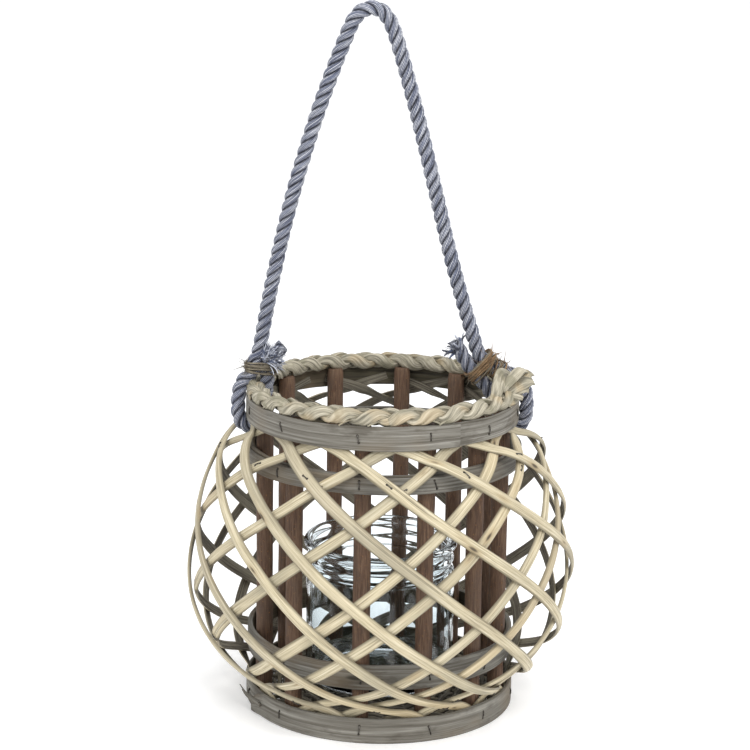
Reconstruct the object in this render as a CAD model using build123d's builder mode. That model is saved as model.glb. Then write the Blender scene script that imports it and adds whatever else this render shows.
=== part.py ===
"""Hurricane candle lantern: a glass jar in an open willow lattice basket with a rope handle.

Millimetres, +Z up. The origin is the middle of the base hoop's lower edge, and the rope
handle runs across along X. Angles go round from the front (-Y) towards +X.
"""

import math
import os

from build123d import *

os.makedirs("parts", exist_ok=True)

# Hoops: two inner ones hug the stakes, and the base and top ones leave room for the strips' ends
hoop_outer = 90.6
hoop_inner = 88.2
base_hoop_height = 17.0
top_hoop_low = 195.6
top_hoop_high = 212.0
hug_radius = 86.0
lower_hoop_thick = 3.5
lower_hoop_low = 36.0
lower_hoop_high = 53.0
upper_hoop_thick = 7.0
upper_hoop_low = 168.0
upper_hoop_high = 180.0

# Stakes: twelve upright bark rods, a little unevenly spaced as a basket maker sets them
stake_radius = 5.6
stake_ring = 80.0
stake_low = 1.0
stake_angles = [-158.5, -128, -102, -77.5, -47.5, -11.5, 18, 46.5, 76, 107, 138, 167.5]

# Lattice: two layers of split willow strips that cross, twelve to a layer
strip_width = 8.0
strip_thick = 2.4
pared_thick = 0.8
layer_gap = 1.1
pared_gap = 0.45
tucked_share = 0.065
pared_share = 0.03
strip_stations = 48
end_crowding = 0.09
waist_height = 120.0
tuck_radius = 87.05
strip_low = 7.0
foot_leaves = 19.5
top_leaves = 193.0
strip_high = 203.0
twist_slope = 1.27
foot_twist_slope = 2.05
top_twist_slope = 3.0
# (angle at the waist, how far the top and the foot turn compared with the usual)
outer_layer = [
    (-110, 1.0, 1.08), (-73, 1.0, 1.05), (-41, 1.16, 0.95), (-20.5, 1.0, 1.03),
    (9.5, 1.0, 1.0), (38, 1.02, 1.0), (70, 1.05, 1.0), (100, 1.0, 1.0),
    (130, 1.0, 1.02), (161, 1.0, 1.0), (191, 0.98, 1.0), (220, 1.0, 1.0),
]
inner_layer = [
    (-61, 1.0, 1.0), (-32, 1.0, 1.0), (-1, 0.97, 1.0), (18, 1.0, 1.0),
    (47, 1.03, 1.0), (65, 1.05, 1.0), (97, 1.0, 1.0), (130, 1.0, 1.0),
    (164, 1.0, 1.0), (196, 1.0, 1.0), (232, 1.0, 1.0), (266, 1.0, 1.0),
]

# Base panel that the jar stands on
panel_radius = 85.5
panel_low = 4.0
panel_top = 14.0

# Straw plait on the rim
braid_ring = 83.6
braid_half_width = 6.9
braid_low = 212.2
braid_high = 219.8

# Staples: one through each hoop at each stake
staple_width = 1.2
staple_height = 6.0
staple_proud = 0.7
staple_leg = 2.0

# Glass jar
jar_low = 14.3
jar_top = 112.3
jar_radius = 50.0
jar_wall = 2.8
jar_floor = 4.5

# Rope handle and its two end loops, which turn about one line along X through their ties
rope_radius = 5.0
hinge_height = 243.0
left_end = -81.5
right_end = 61.5
leg_outer = 96.0
leg_inner = 78.5
under_hoop = 188.9
tie_wall = 1.6
rope_clearance = 0.3


def save(piece, name):
    """Labels a finished piece and writes it."""
    piece.part.label = name
    export_step(piece.part, f"parts/{name}.step")


def around(radius, angle, height=0.0):
    """The point at an angle from the front, on a circle about the lantern's axis."""
    turn = math.radians(angle)
    return Vector(radius * math.sin(turn), -radius * math.cos(turn), height)


# ---------------------------------------------------------------- hoops
def hoop(name, inner, outer, low, high):
    with BuildPart() as band:
        with BuildSketch(Plane.XY.offset(low)):
            Circle(outer)
            Circle(inner, mode=Mode.SUBTRACT)
        extrude(amount=high - low)
        chamfer(band.edges().filter_by(GeomType.CIRCLE), length=0.4)
    save(band, name)


hoop("base_hoop", hoop_inner, hoop_outer, 0.0, base_hoop_height)
hoop("lower_hoop", hug_radius, hug_radius + lower_hoop_thick, lower_hoop_low, lower_hoop_high)
hoop("upper_hoop", hug_radius, hug_radius + upper_hoop_thick, upper_hoop_low, upper_hoop_high)
hoop("top_hoop", hoop_inner, hoop_outer, top_hoop_low, top_hoop_high)

# ---------------------------------------------------------------- stakes
for number, angle in enumerate(stake_angles, start=1):
    with BuildPart() as stake:
        with BuildSketch(Plane.XY.offset(stake_low)):
            with Locations(around(stake_ring, angle)):
                Circle(stake_radius)
        extrude(amount=top_hoop_high - stake_low)
        chamfer(stake.edges().filter_by(GeomType.CIRCLE), length=0.6)
    save(stake, f"stake_{number:02d}")


# ---------------------------------------------------------------- staples
def staples(name, radius, low, high):
    """A staple through a hoop in front of each stake, its crown upright on the outside."""
    middle = (low + high) / 2
    with BuildPart() as row:
        for angle in stake_angles:
            outward = around(1.0, angle)
            face = Plane(origin=around(radius, angle, middle), x_dir=(0, 0, 1), z_dir=outward)
            with BuildSketch(face):
                Rectangle(staple_height, staple_width)
            extrude(amount=staple_proud)
            with BuildSketch(face):
                with GridLocations(staple_height - staple_proud, 1, 2, 1):
                    Rectangle(staple_proud, staple_width)
            extrude(amount=-staple_leg)
    save(row, name)


staples("base_staples", hoop_outer, 0.0, base_hoop_height)
staples("lower_staples", hug_radius + lower_hoop_thick, lower_hoop_low, lower_hoop_high)
staples("upper_staples", hug_radius + upper_hoop_thick, upper_hoop_low, upper_hoop_high)
staples("top_staples", hoop_outer, top_hoop_low, top_hoop_high)

# ---------------------------------------------------------------- lattice strips
# The belly's outline, halfway between the two layers: upright inside each end hoop
with BuildLine(Plane.XZ) as belly:
    Line((tuck_radius, strip_low), (tuck_radius, foot_leaves))
    Spline(
        (tuck_radius, foot_leaves),
        (95.5, 27.0),
        (109.0, 39.0),
        (122.5, 63.0),
        (127.2, 94.0),
        (122.5, 132.0),
        (112.0, 163.0),
        (99.5, 184.0),
        (tuck_radius, top_leaves),
        tangents=[(0.0, 1.0), (0.0, 1.0)],
        tangent_scalars=[0.8, 0.8],
    )
    Line((tuck_radius, top_leaves), (tuck_radius, strip_high))
outline = belly.wire()


def stations():
    """(radius, height, upward slope, share of the way, turn in degrees) up the belly."""
    spots = []
    for step in range(strip_stations + 1):
        even = step / strip_stations
        share = even - end_crowding * math.sin(2 * math.pi * even)
        point = outline.position_at(share)
        slope = outline.tangent_at(share)
        radius, height = point.X, point.Z
        turn = 0.0
        if spots:
            last = spots[-1]
            run = math.hypot(radius - last[0], height - last[1])
            low_down = max(0.0, 1.0 - height / 50.0)
            high_up = min(1.0, max(0.0, (height - 192.0) / 4.0))
            steepness = twist_slope + (foot_twist_slope - twist_slope) * low_down
            steepness += (top_twist_slope - twist_slope) * high_up
            turn = last[4] + math.degrees(steepness * run / ((radius + last[0]) / 2))
        spots.append((radius, height, slope, share, turn))
    waist = min(spots, key=lambda spot: abs(spot[1] - waist_height))[4]
    return [(r, z, slope, share, turn - waist) for r, z, slope, share, turn in spots]


belly_stations = stations()


def strip_sections(middle, top_turn, foot_turn, hand, side):
    """The planes and thicknesses of a strip's sections; side is +1 outside and -1 inside."""
    centres = []
    for radius, height, slope, share, turn in belly_stations:
        from_end = min(share, 1.0 - share)
        full = min(1.0, max(0.0, (from_end - tucked_share) / pared_share))
        thick = pared_thick + (strip_thick - pared_thick) * full
        gap = pared_gap + (layer_gap - pared_gap) * full
        shift = side * (thick + gap) / 2
        angle = middle - hand * turn * (top_turn if turn > 0 else foot_turn)
        reach = radius + shift * slope.Z
        centre = around(reach, angle, height - shift * slope.X)
        normal = around(slope.Z, angle, -slope.X)
        centres.append((centre, normal, thick))
    sections = []
    for index, (centre, normal, thick) in enumerate(centres):
        ahead = centres[min(index + 1, len(centres) - 1)][0]
        behind = centres[max(index - 1, 0)][0]
        across = normal.cross(ahead - behind).normalized()
        along = across.cross(normal).normalized()
        sections.append((Plane(origin=centre, x_dir=across, z_dir=along), thick))
    return sections


def strip(name, middle, top_turn, foot_turn, hand, side):
    with BuildPart() as band:
        for plane, thick in strip_sections(middle, top_turn, foot_turn, hand, side):
            with BuildSketch(plane):
                Rectangle(strip_width, thick)
        loft(ruled=True)
    save(band, name)


for number, (middle, top_turn, foot_turn) in enumerate(outer_layer, start=1):
    strip(f"outer_strip_{number:02d}", middle, top_turn, foot_turn, hand=1, side=1)
for number, (middle, top_turn, foot_turn) in enumerate(inner_layer, start=1):
    strip(f"inner_strip_{number:02d}", middle, top_turn, foot_turn, hand=-1, side=-1)

# ---------------------------------------------------------------- base panel
with BuildPart() as base_panel:
    with BuildSketch(Plane.XY.offset(panel_low)):
        Circle(panel_radius)
        with Locations(*[around(stake_ring, angle) for angle in stake_angles]):
            Circle(stake_radius + 0.05, mode=Mode.SUBTRACT)
    extrude(amount=panel_top - panel_low)
save(base_panel, "base_panel")

# ---------------------------------------------------------------- glass jar
with BuildPart() as glass_jar:
    with BuildSketch(Plane.XZ):
        with BuildLine():
            Polyline(
                (0, jar_low),
                (jar_radius - 5, jar_low),
                (jar_radius, jar_low + 5),
                (jar_radius, 92.0),
                (jar_radius - 1.8, 95.5),
                (jar_radius - 1.8, 97.0),
                (jar_radius + 0.4, 98.5),
                (jar_radius + 0.4, 100.5),
                (jar_radius - 1.4, 102.0),
                (jar_radius - 1.4, 106.0),
                (jar_radius + 2.2, 107.5),
                (jar_radius + 2.2, 110.8),
                (jar_radius + 0.7, jar_top),
                (jar_radius - jar_wall, jar_top),
                (jar_radius - jar_wall - 1.4, jar_top - 2.0),
                (jar_radius - jar_wall - 1.4, 95.0),
                (jar_radius - jar_wall, 90.0),
                (jar_radius - jar_wall, jar_low + jar_floor + 4),
                (jar_radius - jar_wall - 4, jar_low + jar_floor),
                (0, jar_low + jar_floor),
                close=True,
            )
        make_face()
    revolve(axis=Axis.Z)
save(glass_jar, "glass_jar")


# ---------------------------------------------------------------- rope handle
def corner_radii(points):
    """For each corner, 0.45 of its shorter run over the tangent of half its turn."""
    radii = []
    for before, corner, after in zip(points, points[1:], points[2:]):
        first = Vector(*corner) - Vector(*before)
        second = Vector(*after) - Vector(*corner)
        half_turn = math.radians(first.get_angle(second)) / 2
        radii.append(0.45 * min(first.length, second.length) / math.tan(half_turn))
    return radii


def rope(points, thickness):
    """A rope along straight runs joined by tangent arcs, in the plane y = 0."""
    route = [(x, 0.0, z) for x, z in points]
    with BuildPart() as cord:
        with BuildLine() as path:
            FilletPolyline(*route, radius=corner_radii(route))
        with BuildSketch(Plane(origin=path.line @ 0, z_dir=path.line % 0)):
            Circle(thickness)
        sweep()
    return cord, path.wire().length


def report(name, points, cord, length):
    radii = corner_radii([(x, 0.0, z) for x, z in points])
    expected = math.pi * rope_radius**2 * length
    print(name, "length", round(length, 1), "radii", [round(r, 1) for r in radii])
    print(name, "volume", round(cord.part.volume), "expected", round(expected))


arch_points = [
    (left_end, hinge_height), (-74.5, 283), (-62.5, 338), (-48, 388), (-35.5, 424),
    (-27, 446), (-22, 458), (-15.5, 464.5), (-6, 465), (1.5, 457.5), (7.5, 440),
    (18, 404), (31.5, 351), (45, 296), (right_end, hinge_height),
]
arch, arch_length = rope(arch_points, rope_radius)
report("rope_handle", arch_points, arch, arch_length)
with BuildPart() as rope_handle:
    add(arch.part)
    with Locations((left_end, 0, hinge_height), (right_end, 0, hinge_height)):
        Sphere(rope_radius)
save(rope_handle, "rope_handle")

left_points = [
    (-83.2, 237.7), (-86, 234), (-86, 226), (-leg_outer, 217.5), (-leg_outer, under_hoop),
    (-leg_inner, under_hoop), (-leg_inner, 208), (-75.8, 220), (-75.8, 234.5), (-66, 243.5),
]
right_points = [
    (63.2, 237.5), (72.5, 228.2), (86, 225.5), (leg_outer, 216), (leg_outer, under_hoop),
    (leg_inner, under_hoop), (leg_inner - 1.5, 205), (67.5, 218.8), (55.6, 230.7), (47, 247),
]
rope_loop_left, left_length = rope(left_points, rope_radius)
rope_loop_right, right_length = rope(right_points, rope_radius)
report("rope_loop_left", left_points, rope_loop_left, left_length)
report("rope_loop_right", right_points, rope_loop_right, right_length)
save(rope_loop_left, "rope_loop_left")
save(rope_loop_right, "rope_loop_right")


def tie(name, centre, direction, length):
    """A twine binding round two ropes that lie side by side in the plane y = 0."""
    axis = Vector(direction[0], 0, direction[1]).normalized()
    across = Vector(axis.Z, 0, -axis.X)
    start = Vector(centre[0], 0, centre[1]) - axis * (length / 2)
    inside = 4 * rope_radius + 3 * rope_clearance
    height = 2 * rope_radius + 2 * rope_clearance
    with BuildPart() as binding:
        with BuildSketch(Plane(origin=start, x_dir=across, z_dir=axis)):
            SlotOverall(inside + 2 * tie_wall, height + 2 * tie_wall)
            SlotOverall(inside, height, mode=Mode.SUBTRACT)
        extrude(amount=length)
    save(binding, name)


tie("rope_tie_left", (-80.9, 230.0), (0, 1), 7.0)
tie("rope_tie_right", (64.2, 229.3), (-1, 1), 8.0)

# ---------------------------------------------------------------- rim plait
# The plait's envelope lies on the hoop and the stakes, and the rope's loops press into it
with BuildPart() as rim_braid:
    with BuildSketch(Plane.XZ):
        with Locations((braid_ring, (braid_low + braid_high) / 2)):
            Ellipse(braid_half_width, (braid_high - braid_low) / 2)
    revolve(axis=Axis.Z)
save(rim_braid, "rim_braid")
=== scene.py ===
"""Hurricane candle lantern: the looks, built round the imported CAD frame. Metres, +Z up."""

import math
import random

import bpy
import numpy as np
from mathutils import Matrix, Vector


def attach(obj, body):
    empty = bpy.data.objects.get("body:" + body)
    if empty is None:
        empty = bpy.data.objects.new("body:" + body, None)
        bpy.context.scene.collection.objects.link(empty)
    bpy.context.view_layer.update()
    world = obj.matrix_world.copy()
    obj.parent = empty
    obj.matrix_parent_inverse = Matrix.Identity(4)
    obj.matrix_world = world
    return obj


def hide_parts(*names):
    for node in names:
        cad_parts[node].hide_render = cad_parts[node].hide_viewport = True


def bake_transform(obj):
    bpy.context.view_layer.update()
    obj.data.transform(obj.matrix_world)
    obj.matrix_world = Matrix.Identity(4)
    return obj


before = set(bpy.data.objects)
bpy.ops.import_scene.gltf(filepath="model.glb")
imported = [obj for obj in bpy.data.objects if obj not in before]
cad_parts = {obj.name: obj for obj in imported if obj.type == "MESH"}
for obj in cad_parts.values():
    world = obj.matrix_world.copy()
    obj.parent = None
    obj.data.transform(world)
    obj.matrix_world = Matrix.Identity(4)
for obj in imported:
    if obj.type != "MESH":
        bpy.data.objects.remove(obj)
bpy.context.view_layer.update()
scene = bpy.context.scene
MM = 0.001
UPWARD = Vector((0, 0, 1))
# The range of a random phase: a full turn in radians, near enough
ANY_PHASE = 6.28
# The rope's strands: how far their middles lie from its axis, and their half height and width
STRAND_OUT, STRAND_HIGH, STRAND_WIDE = 2.75 * MM, 2.25 * MM, 2.85 * MM


# ------------------------------------------------------------------ small helpers
def around(radius, angle, height):
    """A point at an angle in degrees, round from the front (-Y) towards +X, in metres."""
    turn = math.radians(angle)
    return Vector((radius * math.sin(turn), -radius * math.cos(turn), height))


def smooth(low, high, value):
    """0 below low, 1 above high and an even step between them."""
    share = min(1.0, max(0.0, (value - low) / (high - low)))
    return share * share * (3 - 2 * share)


def way_at(line, index):
    """The way a line of points runs at one of them, not yet of unit length."""
    return line[min(index + 1, len(line) - 1)] - line[max(index - 1, 0)]


def running_length(line, start=0.0):
    """How far along a line of points each of them is."""
    marks = [start]
    for a, b in zip(line, line[1:]):
        marks.append(marks[-1] + (b - a).length)
    return marks


def round_marks(radius, sides):
    """u for each corner of a round section, as the distance round it."""
    return [2 * math.pi * radius * corner / sides for corner in range(sides + 1)]


class Wobble:
    """A smooth seeded function of one number, from about -1 to 1."""

    def __init__(self, seed, waves=5, longest=1.0, shrink=0.62):
        source = random.Random(seed)
        self.parts = []
        length = longest
        for _ in range(waves):
            self.parts.append((length, source.uniform(0, ANY_PHASE), source.uniform(0.6, 1.0)))
            length *= shrink

    def __call__(self, value):
        total = 0.0
        for rank, (length, phase, size) in enumerate(self.parts):
            total += size * math.sin(6.283 * value / length + phase) / (1 + rank * 0.6)
        return total / 1.8


class Shape:
    """Gathers skins of rings into one mesh with UVs: u goes across, v along, as given."""

    def __init__(self):
        self.points = []
        self.faces = []
        self.uvs = []
        self.marks = []

    def skin(self, rings, u, v, caps=True, mark=0):
        """rings: lists of points; u: one more value than a ring's points; v: one per ring."""
        first = len(self.points)
        count = len(rings[0])
        for ring in rings:
            self.points.extend(tuple(p) for p in ring)
        for row in range(len(rings) - 1):
            for col in range(count):
                after = (col + 1) % count
                low = first + row * count
                high = low + count
                self.faces.append((low + col, low + after, high + after, high + col))
                self.uvs.append(((u[col], v[row]), (u[col + 1], v[row]),
                                 (u[col + 1], v[row + 1]), (u[col], v[row + 1])))
                self.marks.append(mark)
        if caps:
            last = first + (len(rings) - 1) * count
            self.faces.append(tuple(first + col for col in reversed(range(count))))
            self.uvs.append(tuple((u[col], v[0]) for col in reversed(range(count))))
            self.faces.append(tuple(last + col for col in range(count)))
            self.uvs.append(tuple((u[col], v[-1]) for col in range(count)))
            self.marks.extend((mark, mark))

    def tube(self, path, radius, sides=8, v_start=0.0, mark=0, up=(0.31, 0.52, 0.79)):
        """A round tube along points; radius is a number or one per point."""
        sizes = radius if hasattr(radius, "__len__") else [radius] * len(path)
        turns = [2 * math.pi * corner / sides for corner in range(sides)]
        rings = []
        side = way_at(path, 0).normalized().cross(Vector(up)).normalized()
        for index, point in enumerate(path):
            ahead = way_at(path, index).normalized()
            side = (side - ahead * side.dot(ahead)).normalized()
            lift = ahead.cross(side)
            rings.append([point + sizes[index] * (side * math.cos(turn) + lift * math.sin(turn))
                          for turn in turns])
        self.skin(rings, round_marks(max(sizes), sides), running_length(path, v_start),
                  mark=mark)

    def make(self, name, body, slot, materials, nodes=()):
        mesh = bpy.data.meshes.new(name)
        mesh.from_pydata(self.points, [], self.faces)
        layer = mesh.uv_layers.new(name="UVMap")
        layer.data.foreach_set("uv", [c for face in self.uvs for uv in face for c in uv])
        for material in materials:
            mesh.materials.append(material)
        mesh.polygons.foreach_set("material_index", self.marks)
        mesh.polygons.foreach_set("use_smooth", [True] * len(self.faces))
        mesh.update()
        mesh.validate()
        piece = bpy.data.objects.new(name, mesh)
        scene.collection.objects.link(piece)
        if body:
            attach(piece, body)
        if nodes:
            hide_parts(*nodes)
        return piece


def crease(piece, degrees):
    """Keeps faces smooth but shades edges sharper than this angle as edges."""
    piece.data.set_sharp_from_angle(angle=math.radians(degrees))


def curve_through(controls, steps=8):
    """Catmull-Rom points through (x, y, z) controls in millimetres, in metres."""
    controls = [Vector(c) * MM for c in controls]
    controls = [controls[0] * 2 - controls[1]] + controls + [controls[-1] * 2 - controls[-2]]
    out = []
    for i in range(1, len(controls) - 2):
        p0, p1, p2, p3 = controls[i - 1:i + 3]
        for step in range(steps):
            s = step / steps
            out.append(0.5 * ((2 * p1) + (p2 - p0) * s + (2 * p0 - 5 * p1 + 4 * p2 - p3) * s**2
                              + (3 * p1 - p0 - 3 * p2 + p3) * s**3))
    out.append(controls[-2])
    return out


def curve_round(spots, steps=8):
    """The same through (angle in degrees, radius, height) spots round the basket."""
    return curve_through([around(radius, angle, height) for angle, radius, height in spots], steps)


# ------------------------------------------------------------------ materials
def rgb(text):
    """A linear colour from an sRGB hex text."""
    values = [int(text[i:i + 2], 16) / 255 for i in (0, 2, 4)]
    return tuple(v / 12.92 if v <= 0.04045 else ((v + 0.055) / 1.055) ** 2.4 for v in values)


class Nodes:
    """A material's node tree, built with one call a node."""

    def __init__(self, name):
        self.material = bpy.data.materials.new(name)
        self.material.use_nodes = True
        self.tree = self.material.node_tree
        self.tree.nodes.clear()
        self.uv = self.add("ShaderNodeTexCoord").outputs["UV"]

    def add(self, kind, inputs=None, **settings):
        node = self.tree.nodes.new(kind)
        for key, value in settings.items():
            setattr(node, key, value)
        for key, value in (inputs or {}).items():
            if isinstance(value, bpy.types.NodeSocket):
                self.tree.links.new(value, node.inputs[key])
            else:
                node.inputs[key].default_value = value
        return node

    def split(self, vector):
        return self.add("ShaderNodeSeparateXYZ", {"Vector": vector}).outputs

    def scaled(self, across, along):
        return self.add("ShaderNodeMapping", {"Vector": self.uv,
                                              "Scale": (across, along, 1.0)}).outputs[0]

    def noise(self, vector, detail=3.0, rough=0.55, distort=0.0):
        node = self.add("ShaderNodeTexNoise", {"Vector": vector, "Scale": 1.0, "Detail": detail,
                                               "Roughness": rough, "Distortion": distort})
        return node.outputs["Fac"]

    def grain(self, across, along, *settings):
        """Noise with this many grains to a unit of u and of v, then noise's own settings."""
        return self.noise(self.scaled(across, along), *settings)

    def spots(self, across, along):
        """How far the nearest of some scattered spots is, and that spot's random number."""
        cells = self.add("ShaderNodeTexVoronoi", {"Vector": self.scaled(across, along),
                                                  "Scale": 1.0, "Randomness": 1.0})
        return cells.outputs["Distance"], self.split(cells.outputs["Color"])[0]

    def math(self, operation, a, b=0.0, c=0.0):
        return self.add("ShaderNodeMath", {0: a, 1: b, 2: c}, operation=operation).outputs[0]

    def times(self, a, b):
        return self.math("MULTIPLY", a, b)

    def away(self, value, middle):
        return self.math("ABSOLUTE", self.math("SUBTRACT", value, middle))

    def above(self, value, low, high):
        """0 below low and 1 above high."""
        return self.add("ShaderNodeMapRange", {"Value": value, "From Min": low, "From Max": high},
                        interpolation_type="SMOOTHSTEP").outputs["Result"]

    def below(self, value, low, high):
        """1 below low and 0 above high."""
        return self.math("SUBTRACT", 1.0, self.above(value, low, high))

    def ramp(self, value, *stops):
        """A colour that runs through (place, hex text) stops."""
        node = self.add("ShaderNodeValToRGB", {"Fac": value})
        elements = node.color_ramp.elements
        while len(elements) < len(stops):
            elements.new(0.5)
        for element, (place, text) in zip(elements, stops):
            element.position = place
            element.color = (*rgb(text), 1.0)
        return node.outputs["Color"]

    def tint(self, colour, mask, amount, text):
        """The colour, drawn by this amount towards another one where the mask is 1."""
        return self.add("ShaderNodeMix", {0: self.times(mask, amount), 6: colour,
                                          7: (*rgb(text), 1.0)}, data_type="RGBA").outputs[2]

    def bump(self, height, depth, strength):
        return self.add("ShaderNodeBump", {"Height": height, "Distance": depth,
                                           "Strength": strength}).outputs["Normal"]

    def finish(self, colour, roughness, normal=None, **more):
        inputs = {"Base Color": colour, "Roughness": roughness}
        if normal is not None:
            inputs["Normal"] = normal
        for key, value in more.items():
            inputs[key.replace("_", " ")] = value
        shader = self.add("ShaderNodeBsdfPrincipled", inputs)
        target = self.add("ShaderNodeOutputMaterial")
        self.tree.links.new(shader.outputs[0], target.inputs[0])
        return self.material


def willow_outside():
    """Peeled willow: cream with grey and tan streaks, small knots and painted shade darkening the
    edges.

    u is 0 to 1 across the face and v is metres along it.
    """
    n = Nodes("willow_outside")
    streaks = n.grain(9.0, 26.0, 5.0, 0.6, 0.25)
    fibres = n.grain(34.0, 60.0, 3.0, 0.6)
    broad = n.grain(0.6, 11.0, 2.0, 0.5)
    tan = n.grain(0.0, 2.3, 1.0)
    aged = n.grain(0.0, 1.3, 2.0)
    colour = n.ramp(streaks, (0.27, "6d6451"), (0.39, "9c9177"), (0.51, "bdb193"),
                    (0.68, "d3cab1"))
    colour = n.tint(colour, n.above(broad, 0.50, 0.70), 0.60, "8f8873")
    colour = n.tint(colour, n.above(tan, 0.52, 0.66), 0.35, "c0a678")
    colour = n.tint(colour, n.above(aged, 0.50, 0.62), 0.45, "978f7c")
    colour = n.tint(colour, n.above(fibres, 0.55, 0.70), 0.50, "766d59")
    across = n.split(n.uv)[0]
    # Painted shade: the colour darkens towards both edges of the face
    colour = n.tint(colour, n.above(n.away(across, 0.5), 0.32, 0.5), 0.80, "5e5643")
    # Two fine dark ribs, which show in some stretches
    ribs = n.below(n.math("MINIMUM", n.away(across, 0.30), n.away(across, 0.40)), 0.008, 0.035)
    ribs = n.times(ribs, n.above(n.grain(0.0, 7.0, 2.0), 0.54, 0.60))
    colour = n.tint(colour, ribs, 0.75, "5b5442")
    # Knots, each with a tan halo
    distance, pick = n.spots(1.15, 40.0)
    chosen = n.above(pick, 0.58, 0.62)
    colour = n.tint(colour, n.times(n.below(distance, 0.12, 0.42), chosen), 0.50, "9a8560")
    colour = n.tint(colour, n.times(n.below(distance, 0.06, 0.20), chosen), 0.90, "3d3326")
    height = n.math("ADD", n.times(streaks, 0.8), n.times(fibres, 0.5))
    height = n.math("SUBTRACT", height, n.times(ribs, 0.5))
    rough = n.math("MULTIPLY_ADD", streaks, -0.25, 0.70)
    return n.finish(colour, rough, n.bump(height, 0.0004, 0.8), Specular_IOR_Level=0.4)


def willow_inside():
    """The split face of the willow: dark grey with paler patches and long fibres."""
    n = Nodes("willow_inside")
    streaks = n.grain(8.0, 22.0, 5.0, 0.65, 0.3)
    broad = n.grain(0.5, 9.0, 2.0)
    colour = n.ramp(streaks, (0.28, "3e3a32"), (0.45, "655f54"), (0.60, "8a8475"),
                    (0.76, "b0a996"))
    colour = n.tint(colour, n.above(broad, 0.50, 0.66), 0.50, "95907f")
    return n.finish(colour, 0.85, n.bump(streaks, 0.0005, 0.9), Specular_IOR_Level=0.2)


def hoop_wood(name, *tones):
    """Weathered split wood: four tones along the grain, darker stains, brown patches, knots."""
    n = Nodes(name)
    grain = n.grain(620.0, 11.0, 5.0, 0.62, 0.15)
    fine = n.grain(2300.0, 42.0, 3.0, 0.6)
    stains = n.grain(85.0, 26.0, 4.0, 0.65)
    broad = n.grain(14.0, 9.0, 3.0, 0.6)
    colour = n.ramp(grain, *zip((0.27, 0.42, 0.57, 0.74), tones))
    colour = n.tint(colour, n.above(stains, 0.50, 0.66), 0.60, "453f36")
    colour = n.tint(colour, n.above(broad, 0.50, 0.64), 0.50, "776955")
    colour = n.tint(colour, n.above(fine, 0.58, 0.72), 0.40, "3b3730")
    distance, pick = n.spots(110.0, 30.0)
    knot = n.times(n.below(distance, 0.08, 0.26), n.above(pick, 0.84, 0.86))
    colour = n.tint(colour, knot, 0.80, "2e2921")
    height = n.math("ADD", n.times(grain, 0.9), n.times(fine, 0.5))
    return n.finish(colour, 0.80, n.bump(height, 0.0005, 0.8), Specular_IOR_Level=0.28)


def bark():
    """Brown bark with fine upright wrinkles, greyer patches and rusty freckles."""
    n = Nodes("bark")
    grain = n.grain(900.0, 70.0, 5.0, 0.65, 0.5)
    rings = n.grain(120.0, 420.0, 2.0, 0.6)
    broad = n.grain(50.0, 22.0, 3.0)
    specks = n.grain(900.0, 600.0, 1.0)
    colour = n.ramp(grain, (0.22, "3e3027"), (0.45, "5a4435"), (0.60, "6e5643"),
                    (0.80, "8a725d"))
    colour = n.tint(colour, n.above(broad, 0.52, 0.68), 0.50, "57483d")
    colour = n.tint(colour, n.above(specks, 0.66, 0.74), 0.50, "a8743e")
    height = n.math("ADD", grain, n.times(rings, 0.25))
    return n.finish(colour, 0.68, n.bump(height, 0.0005, 0.9), Specular_IOR_Level=0.35)


def straw():
    """Dry plaited leaf: beige and grey-green with ribs along each strand."""
    n = Nodes("straw")
    ribs = n.grain(1100.0, 42.0, 4.0, 0.62, 0.2)
    patches = n.grain(90.0, 70.0, 3.0, 0.6)
    tan = n.grain(40.0, 26.0, 2.0)
    colour = n.ramp(ribs, (0.28, "4e4a3d"), (0.42, "7f7a6b"), (0.55, "a69f8c"),
                    (0.72, "cac3b1"))
    colour = n.tint(colour, n.above(patches, 0.50, 0.62), 0.60, "77735f")
    colour = n.tint(colour, n.above(tan, 0.55, 0.66), 0.34, "b89f76")
    return n.finish(colour, 0.72, n.bump(ribs, 0.0006, 1.0), Specular_IOR_Level=0.3)


def base_willow():
    """Weathered woven rods: dark grey with paler rubbed places."""
    n = Nodes("base_willow")
    grain = n.grain(700.0, 60.0, 4.0, 0.6, 0.3)
    broad = n.grain(60.0, 20.0, 2.0)
    colour = n.ramp(grain, (0.28, "35312b"), (0.46, "57524a"), (0.62, "7a7568"),
                    (0.78, "99937f"))
    colour = n.tint(colour, n.above(broad, 0.52, 0.66), 0.40, "8b8167")
    return n.finish(colour, 0.8, n.bump(grain, 0.0005, 0.8), Specular_IOR_Level=0.25)


def wire():
    """Dull steel with darker marks."""
    n = Nodes("staple_wire")
    marks = n.grain(900.0, 500.0, 3.0)
    colour = n.ramp(marks, (0.35, "26231f"), (0.55, "5a5650"), (0.75, "8f8b84"))
    return n.finish(colour, n.math("MULTIPLY_ADD", marks, 0.35, 0.25), Metallic=0.85)


# The yarns of a strand: how far apart they lie, and how far they slant for each metre along
YARN_PITCH, YARN_SLANT = 1.18 * MM, 0.62


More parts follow.
